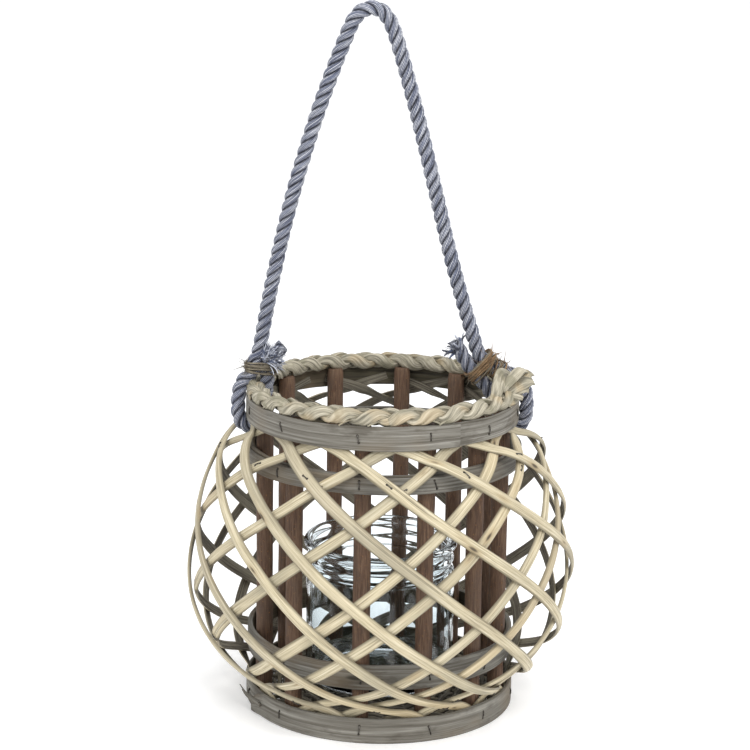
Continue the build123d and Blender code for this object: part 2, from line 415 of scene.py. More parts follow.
def rope_yarn():
    """Shiny blue-grey yarns that lie slantwise on each strand, with pale and dark ones; the
    near-white tops of the pale ones are pale yarn and painted highlight together.

    u is metres round a strand and v is metres along it.
    """
    n = Nodes("rope_yarn")
    about, along, _ = n.split(n.uv)
    lay = n.math("MULTIPLY_ADD", along, YARN_SLANT, about)
    yarn_stripes_and_highlights = n.math("SINE", n.times(lay, 2 * math.pi / YARN_PITCH))
    yarn_stripes_and_highlights = n.math("MULTIPLY_ADD", yarn_stripes_and_highlights, 0.5, 0.5)
    mixed = n.add("ShaderNodeCombineXYZ", {"X": n.times(lay, 900.0), "Y": n.times(along, 45.0)})
    uneven = n.noise(mixed.outputs[0], 3.0, 0.6)
    shade = n.math("MULTIPLY_ADD", yarn_stripes_and_highlights, 0.74, n.math("MULTIPLY_ADD", uneven, 1.5, -0.64))
    # The palest stop is near white: pale yarn and painted highlight together
    colour = n.ramp(shade, (0.10, "262b40"), (0.38, "4d546c"), (0.68, "7d8499"),
                    (0.92, "eff0f3"))
    # Painted shade where the strands press together, which is where u is far from a strand's crown
    groove_shade = n.above(n.away(about, math.pi * STRAND_WIDE), 0.0030, 0.0056)
    colour = n.tint(colour, groove_shade, 0.85, "23273a")
    height = n.math("ADD", yarn_stripes_and_highlights, n.times(n.grain(2500.0, 900.0, 2.0), 0.35))
    return n.finish(colour, 0.5, n.bump(height, 0.0004, 1.0), Specular_IOR_Level=0.5,
                    Sheen_Weight=0.15, Sheen_Roughness=0.4)


def plain_fibre(name, *tones):
    """A fibrous material that runs through three colours from thread to thread."""
    n = Nodes(name)
    grain = n.grain(2200.0, 160.0, 3.0, 0.6)
    colour = n.ramp(grain, *zip((0.3, 0.5, 0.72), tones))
    return n.finish(colour, 0.75, n.bump(grain, 0.0004, 0.9), Specular_IOR_Level=0.3)


def clear_glass():
    """Clear glass with a slight blue-green tint."""
    n = Nodes("clear_glass")
    return n.finish((0.86, 0.918, 0.940, 1.0), 0.01, Transmission_Weight=1.0, IOR=1.33)


WILLOW = willow_outside()
WILLOW_INSIDE = willow_inside()
HOOP = hoop_wood("hoop_wood", "48443c", "635f57", "7c7971", "9f9c94")
# A darker copy of the hoop wood: painted shade for the faces towards the middle of the basket
HOOP_SHADED_INSIDE = hoop_wood("hoop_inside_painted_shade", "2c2923", "413c34", "55503f", "6f6a5d")
BARK = bark()
STRAW = straw()
WOVEN = base_willow()
WIRE = wire()
ROPE = rope_yarn()
GLASS = clear_glass()
TWINE = plain_fibre("twine", "3f382d", "6a6254", "9b937f")
RAFFIA = plain_fibre("raffia", "4c3b2b", "7c6349", "a68d69")
STAIN = plain_fibre("staple_stain", "1d1914", "2f2921", "433b30")
FRAY = plain_fibre("frayed_yarn", "6d7387", "b3b7c3", "f2f2f1")
DARK_FRAY = plain_fibre("dark_frayed_yarn", "2f354a", "566079", "a7abbb")

# ------------------------------------------------------------------ camera and light
LENS = 110.78
SENSOR = 36.0
CLIP_END = 30.0
CAMERA_PLACE = (0.0, -1.4862, 0.5822)
YAW, PITCH, ROLL = -0.0036, 0.2366, 0.0135
OBJECT_TURN = math.radians(3.0)
WORLD_COLOUR, WORLD_STRENGTH = (0.97, 0.98, 1.0, 1.0), 0.96
FLOOR_HALF, FLOOR_DROP = 14.0, 0.0001
FLOOR_COLOUR, FLOOR_GLOW = (0.93, 0.93, 0.93, 1.0), 0.16

forward = Vector((math.sin(YAW) * math.cos(PITCH), math.cos(YAW) * math.cos(PITCH),
                  -math.sin(PITCH)))
level = Vector((math.cos(YAW), -math.sin(YAW), 0.0))
upright = level.cross(forward)
right = level * math.cos(ROLL) + upright * math.sin(ROLL)
up = upright * math.cos(ROLL) - level * math.sin(ROLL)
axes = Matrix((right, up, -forward)).transposed()
camera = bpy.data.objects.new("camera", bpy.data.cameras.new("camera"))
camera.data.lens = LENS
camera.data.sensor_width = SENSOR
camera.data.clip_end = CLIP_END
unturn = Matrix.Rotation(-OBJECT_TURN, 4, "Z")
camera.matrix_world = unturn @ (Matrix.Translation(CAMERA_PLACE) @ axes.to_4x4())
scene.collection.objects.link(camera)
scene.camera = camera

scene.view_settings.view_transform = "Standard"
world = bpy.data.worlds.new("studio")
world.use_nodes = True
background = world.node_tree.nodes["Background"]
background.inputs["Color"].default_value = WORLD_COLOUR
background.inputs["Strength"].default_value = WORLD_STRENGTH
scene.world = world


def softbox(name, place, size, power, target=(0, 0, 0.16), colour=(1, 1, 1)):
    """A round area light, size metres across, that faces the target."""
    light = bpy.data.lights.new(name, "AREA")
    light.shape = "DISK"
    light.size = size
    light.energy = power
    light.color = colour
    lamp = bpy.data.objects.new(name, light)
    lamp.location = place
    lamp.rotation_euler = (Vector(target) - Vector(place)).to_track_quat("-Z", "Y").to_euler()
    scene.collection.objects.link(lamp)


softbox("key", (0.55, -1.6, 1.6), 0.8, 20.0, colour=(1.0, 0.99, 0.975))
softbox("fill", (-1.3, -1.3, 0.8), 1.0, 4.0)
softbox("top", (0.1, -0.4, 2.0), 1.3, 14.0)

floor_mesh = bpy.data.meshes.new("floor")
floor_mesh.from_pydata([(x * FLOOR_HALF, y * FLOOR_HALF, 0)
                        for x, y in ((-1, -1), (1, -1), (1, 1), (-1, 1))], [], [(0, 1, 2, 3)])
floor = bpy.data.objects.new("floor", floor_mesh)
floor.location.z = -FLOOR_DROP
scene.collection.objects.link(floor)
floor_mesh.materials.append(Nodes("pale_floor").finish(
    FLOOR_COLOUR, 0.9, Emission_Strength=FLOOR_GLOW, Emission_Color=(1.0, 1.0, 1.0, 1.0)))

# ------------------------------------------------------------------ rope
ROPE_LAY = 22.5 * MM
ROPE_STEP = 0.9 * MM
STRAND_SIDES = 14
# The rope's route in the plane y = 0, as (x, z) in millimetres
LEFT_ROUTE = [
    (-66, 243.5), (-76.6, 235), (-76.6, 220), (-78.5, 208), (-78.5, 188.9), (-96, 188.9),
    (-96, 217.5), (-85.4, 226), (-85, 234), (-82.8, 237.7),
]
ARCH_ROUTE = [
    (-81.5, 243), (-74.5, 283), (-62.5, 338), (-48, 388), (-35.5, 424), (-27, 446),
    (-22, 458), (-15.5, 464.5), (-6, 465), (1.5, 457.5), (7.5, 440), (18, 404), (31.5, 351),
    (45, 296), (61.5, 243),
]
RIGHT_ROUTE = [
    (63.2, 237.5), (72.5, 228.2), (86, 225.5), (96, 216), (96, 188.9), (78.5, 188.9),
    (77, 205), (67.5, 218.8), (55.6, 230.7), (47, 247),
]


def smooth_line(route, steps=12):
    """Points of the NURBS curve whose control points are the route."""
    curve = bpy.data.curves.new("route", "CURVE")
    curve.dimensions = "3D"
    curve.resolution_u = steps
    spline = curve.splines.new("NURBS")
    spline.points.add(len(route) - 1)
    for point, (x, z) in zip(spline.points, route):
        point.co = (x * MM, 0.0, z * MM, 1.0)
    spline.order_u = 3
    spline.use_endpoint_u = True
    holder = bpy.data.objects.new("route", curve)
    mesh = bpy.data.meshes.new_from_object(holder)
    points = [v.co.copy() for v in mesh.vertices]
    bpy.data.objects.remove(holder)
    bpy.data.curves.remove(curve)
    bpy.data.meshes.remove(mesh)
    return points


def even_line(points, spacing):
    """The same line with points about this far apart, and how far along each one is."""
    marks = running_length(points)
    count = max(2, round(marks[-1] / spacing))
    wanted = np.linspace(0.0, marks[-1], count + 1)
    columns = [np.interp(wanted, marks, [p[axis] for p in points]) for axis in range(3)]
    return [Vector(p) for p in zip(*columns)], wanted


rope_line, rope_marks = even_line(smooth_line(LEFT_ROUTE + ARCH_ROUTE + RIGHT_ROUTE), ROPE_STEP)
OUT_OF_PLANE = Vector((0, 1, 0))


def strand_frame(line, marks, index, strand):
    """The middle of a strand of the rope, and the directions outward and round the rope."""
    ahead = way_at(line, index).normalized()
    level_side = OUT_OF_PLANE.cross(ahead).normalized()
    turn = 2 * math.pi * (marks[index] / ROPE_LAY + strand / 3)
    outward = level_side * math.cos(turn) + OUT_OF_PLANE * math.sin(turn)
    sideways = ahead.cross(outward)
    return line[index] + outward * STRAND_OUT, outward, sideways


rope = Shape()
for strand in range(3):
    rings = []
    for index in range(len(rope_line)):
        middle, outward, sideways = strand_frame(rope_line, rope_marks, index, strand)
        ring = []
        for corner in range(STRAND_SIDES):
            turn = 2 * math.pi * corner / STRAND_SIDES + math.pi
            ring.append(middle + outward * math.cos(turn) * STRAND_HIGH
                        + sideways * math.sin(turn) * STRAND_WIDE)
        rings.append(ring)
    # Each strand's v starts somewhere else, so that the three don't look alike
    rope.skin(rings, round_marks(STRAND_WIDE, STRAND_SIDES),
              [mark + strand * 3.0 for mark in rope_marks])
rope_piece = rope.make("rope", None, "rope", [ROPE],
                       ["rope_handle", "rope_loop_left", "rope_loop_right"])


TUFT_RADIUS, TUFT_SINK, TUFT_STEPS = 4.2 * MM, 2.5 * MM, 7
FIBRE = (0.10, 0.17)


def tuft(name, root, direction, spread, length, yarns, fibres, curl, materials, seed, yarn):
    """A frayed rope end: thick yarns and fine fibres that fan out from the root.

    yarn is the range of the yarns' radius in millimetres.
    """
    source = random.Random(seed)
    shape = Shape()
    direction = Vector(direction).normalized()
    side = direction.cross(OUT_OF_PLANE).normalized()
    for index in range(yarns + fibres):
        thick = index < yarns
        angle = source.uniform(0, 2 * math.pi)
        reach = math.sqrt(source.random())
        offset = side * math.cos(angle) + OUT_OF_PLANE * math.sin(angle)
        start = Vector(root) + offset * reach * TUFT_RADIUS
        heading = (direction + offset * reach * spread
                   + Vector([source.uniform(-0.3, 0.3) for _ in range(3)])).normalized()
        bend = Vector([source.uniform(-1, 1) for _ in range(3)]) * curl
        run = length * source.uniform(0.6, 1.0) * (1.0 if thick else 1.12)
        points = []
        place = start - heading * TUFT_SINK
        for _ in range(TUFT_STEPS + 1):
            points.append(place.copy())
            heading = (heading + bend / TUFT_STEPS
                       + Vector([source.uniform(-0.12, 0.12) for _ in range(3)])).normalized()
            place = place + heading * run / TUFT_STEPS
        size = source.uniform(*(yarn if thick else FIBRE)) * MM
        taper = [size * (1.0 - 0.55 * (k / TUFT_STEPS) ** 2) for k in range(TUFT_STEPS + 1)]
        shape.tube(points, taper, sides=6 if thick else 4, v_start=source.uniform(0, 2),
                   mark=source.choice(range(len(materials))))
    return shape.make(name, "basket", "rope", materials)


left_tail = tuft("rope_tail_left", (-77.5 * MM, -2.5 * MM, 235.4 * MM), (0.9, -0.25, 0.55), 0.6,
                 15.0 * MM, 105, 190, 0.9, [FRAY, FRAY, ROPE, FRAY, DARK_FRAY], 11, (0.45, 0.68))
right_tail = tuft("rope_tail_right", (49.5 * MM, 0, 241.8 * MM), (-0.55, -0.15, 0.85), 0.55,
                  12.5 * MM, 22, 34, 2.3, [ROPE, DARK_FRAY, ROPE, FRAY], 12, (0.75, 1.1))
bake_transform(rope_piece)


LOOP_STEPS = 40
SQUARENESS = 2.6
LOOSE_ENDS, LOOSE_STEPS = 7, 6
FRIZZ, FRIZZ_STEPS = 230, 4


def binding(name, centre, direction, half_long, half_wide, rise, loops, size, materials, seed):
    """Hand-wound twine round two ropes side by side: loops that cross, loose ends and frizz."""
    source = random.Random(seed)
    axis = Vector((direction[0], 0, direction[1])).normalized()
    across = Vector((axis.z, 0, -axis.x))
    middle = Vector((centre[0] * MM, 0, centre[1] * MM))
    shape = Shape()

    def on_ropes(turn, along, slack):
        """A point on the outside of the two ropes, an oval a little squarer than an ellipse."""
        out = Vector((math.cos(turn), math.sin(turn)))
        out = out * (abs(out.x) ** SQUARENESS + abs(out.y) ** SQUARENESS) ** (-1 / SQUARENESS)
        out = out * slack
        return (middle + axis * along + across * out.x * half_long
                + OUT_OF_PLANE * out.y * half_wide)

    def random_way(length):
        return Vector([source.uniform(-length, length) for _ in range(3)])

    for loop in range(loops):
        wander = Wobble(seed * 31 + loop, longest=1.0)
        shift = ((loop + 0.5) / loops - 0.5) * rise + source.uniform(-0.5, 0.5) * MM
        tilt = source.uniform(-1.9, 1.9) * MM
        phase = source.uniform(0, ANY_PHASE)
        points = []
        for step in range(LOOP_STEPS + 1):
            share = step / LOOP_STEPS
            turn = 2 * math.pi * share
            along = shift + tilt * math.sin(turn + phase) + 0.35 * MM * wander(share)
            slack = 1.0 + 0.035 * (loop % 3) + 0.04 * wander(share + 3)
            points.append(on_ropes(turn, along, slack))
        thick = size * source.uniform(0.75, 1.15)
        sizes = [thick * (1 + 0.16 * wander(step / 8)) for step in range(LOOP_STEPS + 1)]
        shape.tube(points, sizes, v_start=loop * 1.7, mark=loop % len(materials))

    def strand_end(start, heading, bow, run, steps, sizes, sides, mark):
        shape.tube([start + heading * run * s / steps + bow * run * (s / steps) ** 2
                    for s in range(steps + 1)], sizes, sides=sides, mark=mark)

    for index in range(LOOSE_ENDS):
        start = on_ropes(source.uniform(0, ANY_PHASE), source.uniform(-0.5, 0.5) * rise, 1.0)
        heading = ((start - middle).normalized() + random_way(1.0)).normalized()
        strand_end(start, heading, random_way(0.8), source.uniform(3.0, 6.5) * MM, LOOSE_STEPS,
                   [size * (0.7 - 0.09 * s) for s in range(LOOSE_STEPS + 1)], 6,
                   index % len(materials))
    for index in range(FRIZZ):
        start = on_ropes(source.uniform(0, ANY_PHASE), source.uniform(-0.6, 0.6) * rise, 1.03)
        heading = ((start - middle).normalized() * 0.5 + random_way(1.0)).normalized()
        strand_end(start, heading, random_way(1.0), source.uniform(1.2, 3.6) * MM, FRIZZ_STEPS,
                   source.uniform(0.07, 0.15) * MM, 4, index % len(materials))
    return shape.make(name, "basket", "twine", materials)


left_tie = binding("twine_tie_left", (-80.9, 229.2), (0.06, 1), 9.6 * MM, 6.0 * MM, 7.0 * MM, 8,
                   0.72 * MM, [TWINE], 21)
right_tie = binding("raffia_tie_right", (65.2, 230.0), (-1, 1), 10.8 * MM, 6.1 * MM, 8.5 * MM, 9,
                    0.75 * MM, [RAFFIA, TWINE, RAFFIA], 22)
binding("raffia_wrap_right", (73.5, 229.0), (0.9, -0.42), 5.9 * MM, 5.9 * MM, 13.0 * MM, 9,
        0.62 * MM, [RAFFIA, TWINE], 23)
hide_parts("rope_tie_left")
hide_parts("rope_tie_right")

# ------------------------------------------------------------------ belly outline
TUCK_RADIUS = 87.05
STRIP_LOW, FOOT_LEAVES, TOP_LEAVES, STRIP_HIGH = 7.0, 17.6, 195.2, 203.0
OUTLINE = [(TUCK_RADIUS, FOOT_LEAVES), (95.5, 27.0), (109.0, 39.0), (122.5, 63.0),
           (127.2, 94.0), (122.5, 132.0), (112.0, 163.0), (99.5, 184.0),
           (TUCK_RADIUS, TOP_LEAVES)]
END_PULL = 0.5
WAIST = 120.0
TWIST, FOOT_TWIST, TOP_TWIST = 1.27, 2.05, 3.0


def clamped_spline(points, pull, steps=24):
    """A cubic spline through points, upright at both ends, as a dense list of points."""
    knots = [0.0]
    for a, b in zip(points, points[1:]):
        knots.append(knots[-1] + math.dist(a, b))
    knots = np.array(knots)
    values = np.array(points, float)
    gaps = np.diff(knots)
    count = len(points)
    matrix = np.eye(count)
    wanted = np.zeros((count, 2))
    wanted[0] = wanted[-1] = (0.0, pull)
    for i in range(1, count - 1):
        before, after = gaps[i - 1], gaps[i]
        matrix[i, i - 1:i + 2] = (1 / before, 2 * (1 / before + 1 / after), 1 / after)
        wanted[i] = 3 * ((values[i] - values[i - 1]) / before**2
                         + (values[i + 1] - values[i]) / after**2)
    slopes = np.linalg.solve(matrix, wanted)
    line = []
    for i in range(count - 1):
        for step in range(steps):
            s = step / steps
            line.append((2 * s**3 - 3 * s**2 + 1) * values[i]
                        + (s**3 - 2 * s**2 + s) * gaps[i] * slopes[i]
                        + (3 * s**2 - 2 * s**3) * values[i + 1]
                        + (s**3 - s**2) * gaps[i] * slopes[i + 1])
    line.append(values[-1])
    return line


def belly_stations(count):
    """(radius, height, slope, share of the way, turn in degrees) evenly up the belly."""
    line = [np.array((TUCK_RADIUS, z)) for z in np.linspace(STRIP_LOW, FOOT_LEAVES, 12)[:-1]]
    line += clamped_spline(OUTLINE, END_PULL)
    line += [np.array((TUCK_RADIUS, z)) for z in np.linspace(TOP_LEAVES, STRIP_HIGH, 10)[1:]]
    line = np.array(line)
    marks = np.concatenate(([0.0], np.cumsum(np.linalg.norm(np.diff(line, axis=0), axis=1))))
    fine = np.linspace(0, marks[-1], 1200)
    radius = np.interp(fine, marks, line[:, 0])
    height = np.interp(fine, marks, line[:, 1])
    low_down = np.maximum(0.0, 1.0 - height / 50.0)
    high_up = np.clip((height - 192.0) / 4.0, 0.0, 1.0)
    rate = (TWIST + (FOOT_TWIST - TWIST) * low_down + (TOP_TWIST - TWIST) * high_up) / radius
    turn = np.concatenate(([0.0], np.cumsum((rate[1:] + rate[:-1]) / 2 * np.diff(fine))))
    turn = np.degrees(turn - np.interp(WAIST, height, turn))
    wanted = np.linspace(0, marks[-1], count + 1)
    r, z, t = (np.interp(wanted, fine, column) for column in (radius, height, turn))
    slope = np.stack([np.gradient(r), np.gradient(z)], axis=1)
    slope /= np.linalg.norm(slope, axis=1)[:, None]
    return list(zip(r, z, slope, wanted / marks[-1], t))


STATIONS = belly_stations(110)
# (angle at the waist, how far the top and the foot turn compared with the usual)
OUTER_LAYER = [
    (-110, 1.0, 1.08), (-73, 1.0, 1.05), (-41, 1.16, 0.95), (-20.5, 1.0, 1.03),
    (9.5, 1.0, 1.0), (38, 1.02, 1.0), (70, 1.05, 1.0), (100, 1.0, 1.0),
    (130, 1.0, 1.02), (161, 1.0, 1.0), (191, 0.98, 1.0), (220, 1.0, 1.0),
]
INNER_LAYER = [
    (-61, 1.0, 1.0), (-32, 1.0, 1.0), (-1, 0.97, 1.0), (18, 1.0, 1.0),
    (47, 1.03, 1.0), (65, 1.05, 1.0), (97, 1.0, 1.0), (130, 1.0, 1.0),
    (164, 1.0, 1.0), (196, 1.0, 1.0), (232, 1.0, 1.0), (266, 1.0, 1.0),
]
STRIP_HALF = 4.0
STRIP_THICK = 2.7
PARED_THICK = 0.85
LAYER_GAP, PARED_GAP = 0.8, 0.4
SPLIT_HOLLOW = 0.16
LEAN = 3
FACE_STEPS = 10
BACK_STEPS = 6


def strip_line(middle, top_turn, foot_turn, side):
    """(centre, outward, across, along, thickness in millimetres, share) along a strip.

    side is 1 for the outer layer and -1 for the inner one, which leans the other way.
    """
    rows = []
    for radius, height, slope, share, turn in STATIONS:
        from_end = min(share, 1.0 - share)
        full = smooth(0.055, 0.10, from_end)
        thick = PARED_THICK + (STRIP_THICK - PARED_THICK) * full
        gap = PARED_GAP + (LAYER_GAP - PARED_GAP) * full
        shift = side * gap / 2 - (thick if side < 0 else 0.0)
        angle = middle - side * turn * (top_turn if turn > 0 else foot_turn)
        normal = around(slope[1], angle, -slope[0])
        centre = around((radius + shift * slope[1]) * MM, angle, (height - shift * slope[0]) * MM)
        rows.append((centre, normal, thick, share))
    out = []
    centres = [row[0] for row in rows]
    for index, (centre, _, thick, share) in enumerate(rows):
        # Wood bends gently, so a section leans like its neighbours
        nearby = rows[max(index - LEAN, 0):index + LEAN + 1]
        normal = sum((row[1] for row in nearby), Vector()).normalized()
        ahead = way_at(centres, index)
        across = normal.cross(ahead).normalized()
        out.append((centre, normal, across, ahead.normalized(), thick, share))
    return out


def strip_ring(centre, normal, across, thick, wide, ridge_phase):
    """One half-round section: a crowned outer face, then a slightly hollow split face."""
    ring = []
    for step in range(FACE_STEPS + 1):
        a = -1 + 2 * step / FACE_STEPS
        crown = max(0.0, 1 - abs(a) ** 2.4) ** 0.62
        ridge = 0.05 * math.sin(a * 7.3 + ridge_phase)
        high = thick * (0.20 + 0.80 * crown + ridge * crown * 0.5)
        ring.append(centre + across * (a * wide * MM) + normal * (high * MM))
    for step in range(1, BACK_STEPS):
        a = 1 - 2 * step / BACK_STEPS
        ring.append(centre + across * (a * wide * 0.96 * MM)
                    + normal * (SPLIT_HOLLOW * thick * (1 - a * a) * MM))
    return ring


STRIP_U = ([step / FACE_STEPS for step in range(FACE_STEPS + 1)]
           + [1 + step / BACK_STEPS for step in range(1, BACK_STEPS + 1)])


def lattice_strip(name, number, law, side):
    seed = number + (0 if side > 0 else 40)
    wobble = Wobble(seed * 7 + 1, longest=0.9)
    sway = Wobble(seed * 7 + 3, waves=4, longest=0.8)
    rows = strip_line(*law, side)
    rings = []
    for centre, normal, across, _, thick, share in rows:
        from_end = min(share, 1.0 - share)
        wide = STRIP_HALF * (1.0 + 0.09 * wobble(share))
        wide *= 0.62 + 0.38 * smooth(0.0, 0.05, from_end)
        middle = centre + across * (0.7 * sway(share) * smooth(0.05, 0.2, from_end) * MM)
        rings.append(strip_ring(middle, normal, across, thick, wide, wobble(share * 2.0) * 4))
    shape = Shape()
    shape.skin(rings, STRIP_U, running_length([row[0] for row in rows], seed * 1.37))
    spans = FACE_STEPS + BACK_STEPS
    for index in range(len(shape.faces) - 2):
        shape.marks[index] = 0 if index % spans < FACE_STEPS else 1
    shape.marks[-2:] = [1, 1]
    piece = shape.make(name + "_willow", "basket", "split_willow", [WILLOW, WILLOW_INSIDE], [name])
    crease(piece, 50)


for layer, laws, side in (("outer", OUTER_LAYER, 1), ("inner", INNER_LAYER, -1)):
    for number, law in enumerate(laws, start=1):
        lattice_strip(f"{layer}_strip_{number:02d}", number, law, side)

# ------------------------------------------------------------------ hoops
CORNER = 0.5
LAP_STEP = 1.15
BAND_STEPS = 260


def band(shape, inner, outer, low, high, tip, lap, seed, flare=0.0, hand=1, ragged=0.0):
    """A split-wood band that goes once round and laps over its own start.

    tip is the angle of the outer end's edge and lap is how far the ends overlap, in degrees.
    The band goes on from its tip backwards when hand is 1, and forwards when it is -1.
    """
    wave = Wobble(seed, waves=5, longest=140.0)
    edge_top = Wobble(seed + 1, waves=6, longest=90.0)
    edge_low = Wobble(seed + 2, waves=6, longest=90.0)
    start = -360.0 - lap
    rings = []
    v = []
    for step in range(BAND_STEPS + 1):
        angle = start - start * step / BAND_STEPS
        past = angle - start
        left = -angle
        # The first stretch lies under the outer end, and the last one is that outer end
        under = 1.0 - smooth(lap, lap + 26.0, past)
        r_out = outer - LAP_STEP * under + 0.12 * wave(angle)
        r_in = inner
        if past < lap:
            r_out = inner + 0.35 + (outer - LAP_STEP - inner - 0.45) * past / lap
        if left < lap:
            r_in = outer - LAP_STEP + 0.05 - (outer - LAP_STEP - inner) * 0.9 * left / lap
            r_out = outer + 0.05
        lift = flare * (1.0 - smooth(0.0, 8.0, left))
        r_out += lift
        r_in += lift
        top = high - 0.35 + 0.35 * edge_top(angle)
        top -= ragged * (1.0 - smooth(0.0, 11.0, left)) * (1.0 + 0.25 * edge_top(angle * 6.0))
        foot = low + max(0.0, 0.25 - 0.25 * edge_low(angle)) * (0.0 if low <= 0 else 1.0)
        c = min(CORNER, (r_out - r_in) * 0.35)
        section = [(r_out, foot + c), (r_out + 0.10, foot + (top - foot) * 0.35),
                   (r_out + 0.05, foot + (top - foot) * 0.7), (r_out, top - c),
                   (r_out - c, top), (r_in + c, top), (r_in, top - c), (r_in, foot + c),
                   (r_in + c, foot), (r_out - c, foot)]
        place = tip + hand * angle
        ring = [around(r * MM, place, z * MM) for r, z in section]
        rings.append(ring if hand > 0 else [ring[0]] + ring[:0:-1])
        v.append(math.radians(past) * outer * MM + seed * 0.61)
    tall = (high - low) * MM
    u = [share * tall for share in (0.0, 0.35, 0.7, 1.0)]
    u += [tall + step * MM for step in (2, 4, 6)]
    u += [2 * tall + step * MM for step in (6, 8, 10, 12)]
    if hand < 0:
        u = [-value for value in u]
        u = [u[0]] + [u[-1] - u[-2] + value for value in reversed(u[1:])]
    first = len(shape.marks)
    shape.skin(rings, u, v)
    # Painted shade: the face towards the middle of the basket takes a darker copy of the hoop wood
    inner_column = 6 if hand > 0 else 3
    for row in range(BAND_STEPS):
        shape.marks[first + row * len(rings[0]) + inner_column] = 1


SPLINTER = 1.15 * MM


def band_piece(name, node, bands, splinters=()):
    """A hoop of bands, with split-off splinters given as (angle, radius, height) spots."""
    shape = Shape()
    for item in bands:
        band(shape, *item)
    for index, spots in enumerate(splinters):
        line = curve_round(spots, 6)
        last = len(line) - 1
        shape.tube(line, [SPLINTER * (1.05 - 0.8 * k / last) for k in range(last + 1)], sides=6,
                   v_start=index * 0.7)
    piece = shape.make(name, "basket", "grey_wood", [HOOP, HOOP_SHADED_INSIDE], [node])
    crease(piece, 40)


# Each band is its inner and outer radius, low and high edge, tip, lap and seed, and more
band_piece("base_band", "base_hoop", [(88.25, 90.5, 0.0, 17.2, -70.5, 24.0, 31, 1.8, -1, 6.0)],
           [[(-63, 91.4, 9.4), (-69, 92.9, 10.0), (-74, 94.8, 11.6), (-78, 96.8, 14.6)],
            [(-62, 91.4, 8.2), (-69, 93.0, 8.6), (-73, 94.6, 9.8), (-76, 96.0, 12.0)]])
band_piece("top_band", "top_hoop", [(88.25, 90.5, 195.8, 212.2, 29.8, 26.0, 32, 0.7)])
band_piece("lower_band", "lower_hoop", [(86.0, 89.4, 36.2, 53.0, 125.0, 22.0, 33)])
band_piece("upper_band", "upper_hoop", [(86.0, 89.3, 168.3, 180.4, 60.0, 22.0, 34),
                                        (89.5, 92.9, 168.0, 179.6, -118.0, 22.0, 35)])

# ------------------------------------------------------------------ stakes
STAKE_RING, STAKE_RADIUS = 80.0, 5.75
STAKE_LOW, STAKE_HIGH = 1.0, 210.6
STAKE_SIDES, STAKE_STEPS = 28, 70
STAKE_ANGLES = [-158.5, -128, -102, -77.5, -47.5, -11.5, 18, 46.5, 76, 107, 138, 167.5]


def stake(number, angle):
    source = random.Random(500 + number)
    girth = Wobble(600 + number, longest=120.0)
    ridges = [(source.randint(3, 9), source.uniform(0, ANY_PHASE), source.uniform(0.05, 0.12))
              for _ in range(4)]
    knots = [(source.uniform(20, 190), source.uniform(0, ANY_PHASE)) for _ in range(3)]
    shape = Shape()
    rings = []
    heights = []
    middle = around(STAKE_RING, angle, 0)
    for step in range(STAKE_STEPS + 1):
        z = STAKE_LOW + (STAKE_HIGH - STAKE_LOW) * step / STAKE_STEPS
        ends = min(z - STAKE_LOW, STAKE_HIGH - z)
        ring = []
        for corner in range(STAKE_SIDES):
            turn = 2 * math.pi * corner / STAKE_SIDES
            r = STAKE_RADIUS - 0.22 + 0.12 * girth(z)
            for count, phase, size in ridges:
                r += size * math.sin(count * turn + phase + 0.008 * z * count)
            for knot_z, knot_turn in knots:
                near = ((z - knot_z) / 5.0) ** 2 + (math.sin((turn - knot_turn) / 2) / 0.42) ** 2
                r += 0.32 * math.exp(-near * 1.6)
            r = min(r, STAKE_RADIUS + 0.25)
            r -= 0.7 * (1 - smooth(0.0, 1.2, ends))
            ring.append((middle + Vector((r * math.cos(turn), r * math.sin(turn), z))) * MM)
        rings.append(ring)
        heights.append(z * MM + number * 0.77)
    shape.skin(rings, round_marks(STAKE_RADIUS * MM, STAKE_SIDES), heights)
    piece = shape.make(f"stake_{number:02d}_rod", "basket", "bark", [BARK],
                       [f"stake_{number:02d}"])
    crease(piece, 45)


for number, angle in enumerate(STAKE_ANGLES, start=1):
    stake(number, angle)

# ------------------------------------------------------------------ woven base
SPOKES, SPOKE_REACH, SPOKE_RADIUS = 24, 85.0, 1.5
WEAVERS, WEAVER_RADIUS = 25, 1.65
FIRST_WEAVER, WEAVER_STEP = 5.5, 3.28
BASE_HEIGHT, WEAVE_RISE = 9.2, 2.1
WEAVE_STEPS = SPOKES * 5
shape = Shape()
for weaver in range(WEAVERS):
    radius = FIRST_WEAVER + weaver * WEAVER_STEP
    wave = Wobble(700 + weaver, longest=180.0)
    points = []
    for step in range(WEAVE_STEPS + 1):
        angle = 360.0 * step / WEAVE_STEPS
        phase = math.radians(angle) * SPOKES / 2 + weaver * math.pi
        lift = WEAVE_RISE * math.sin(phase) * smooth(4.0, 20.0, radius)
        points.append(around((radius + 0.25 * wave(angle)) * MM, angle, (BASE_HEIGHT + lift) * MM))
    shape.tube(points, WEAVER_RADIUS * MM, v_start=weaver * 0.83, up=UPWARD)
for spoke in range(SPOKES):
    angle = 360.0 * (spoke + 0.5) / SPOKES
    reach = np.linspace(3.0 if spoke % 2 else 9.0, SPOKE_REACH, 14)
    shape.tube([around(r * MM, angle, BASE_HEIGHT * MM) for r in reach], SPOKE_RADIUS * MM,
               v_start=spoke * 0.41)
shape.make("woven_base", "basket", "woven_willow", [WOVEN], ["base_panel"])

